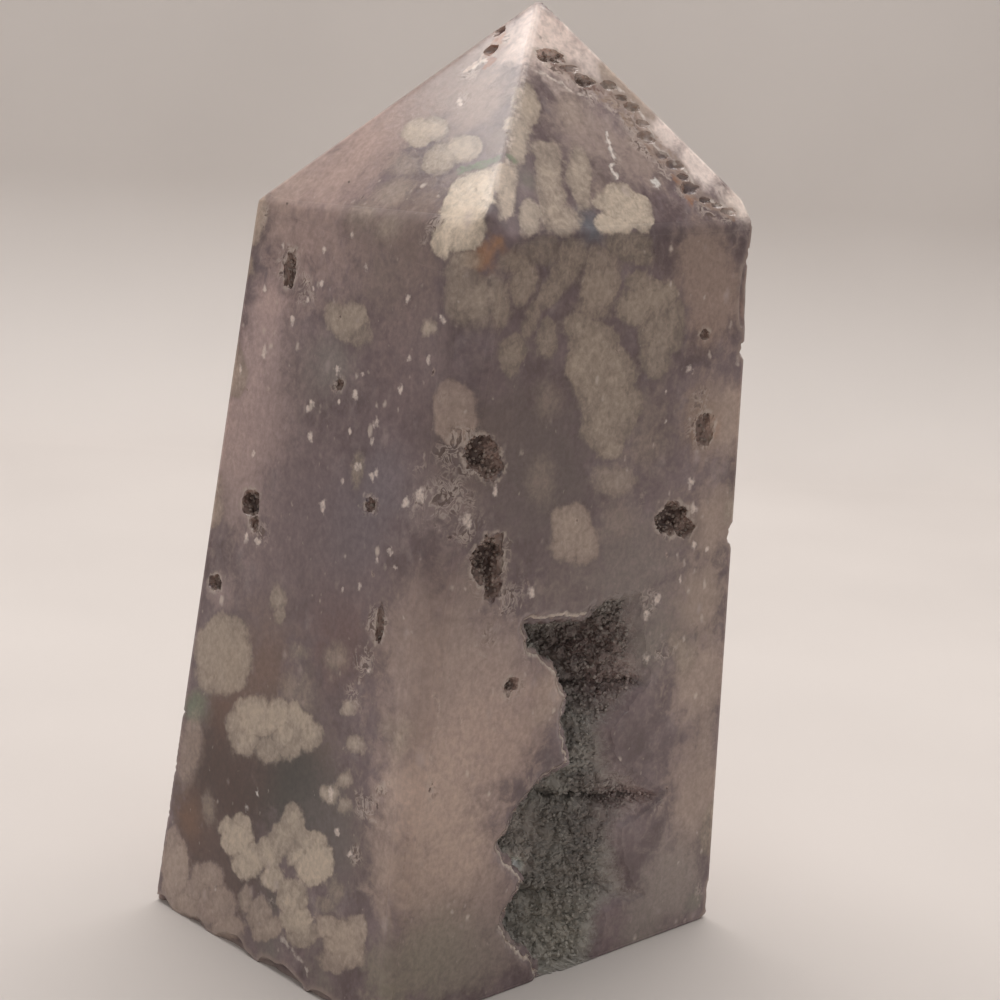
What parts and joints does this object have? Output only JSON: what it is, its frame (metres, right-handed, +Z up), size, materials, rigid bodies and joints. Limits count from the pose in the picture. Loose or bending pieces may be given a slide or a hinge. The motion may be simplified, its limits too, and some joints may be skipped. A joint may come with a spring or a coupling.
{
  "type": "flower agate tower",
  "caption": "Polished four-sided stone point with a pyramid cap and a crystal-lined hollow in its front face, standing on its flat base.",
  "frame": {"origin": "middle of the flat base, on the surface that the tower stands on", "axes": "+Z up along the tower, -Y out of the front face with the hollow, +X to that face's right edge"},
  "size_m": [0.048, 0.0401, 0.1],
  "materials": {
    "polished_agate": "polished, slightly translucent mauve-grey chalcedony with cream flowers",
    "quartz_druse": "small glittering crystal faces"
  },
  "bodies": {
    "root": {"agate_tower": "polished_agate", "main_hollow_druse": "quartz_druse"}
  },
  "joints": []
}
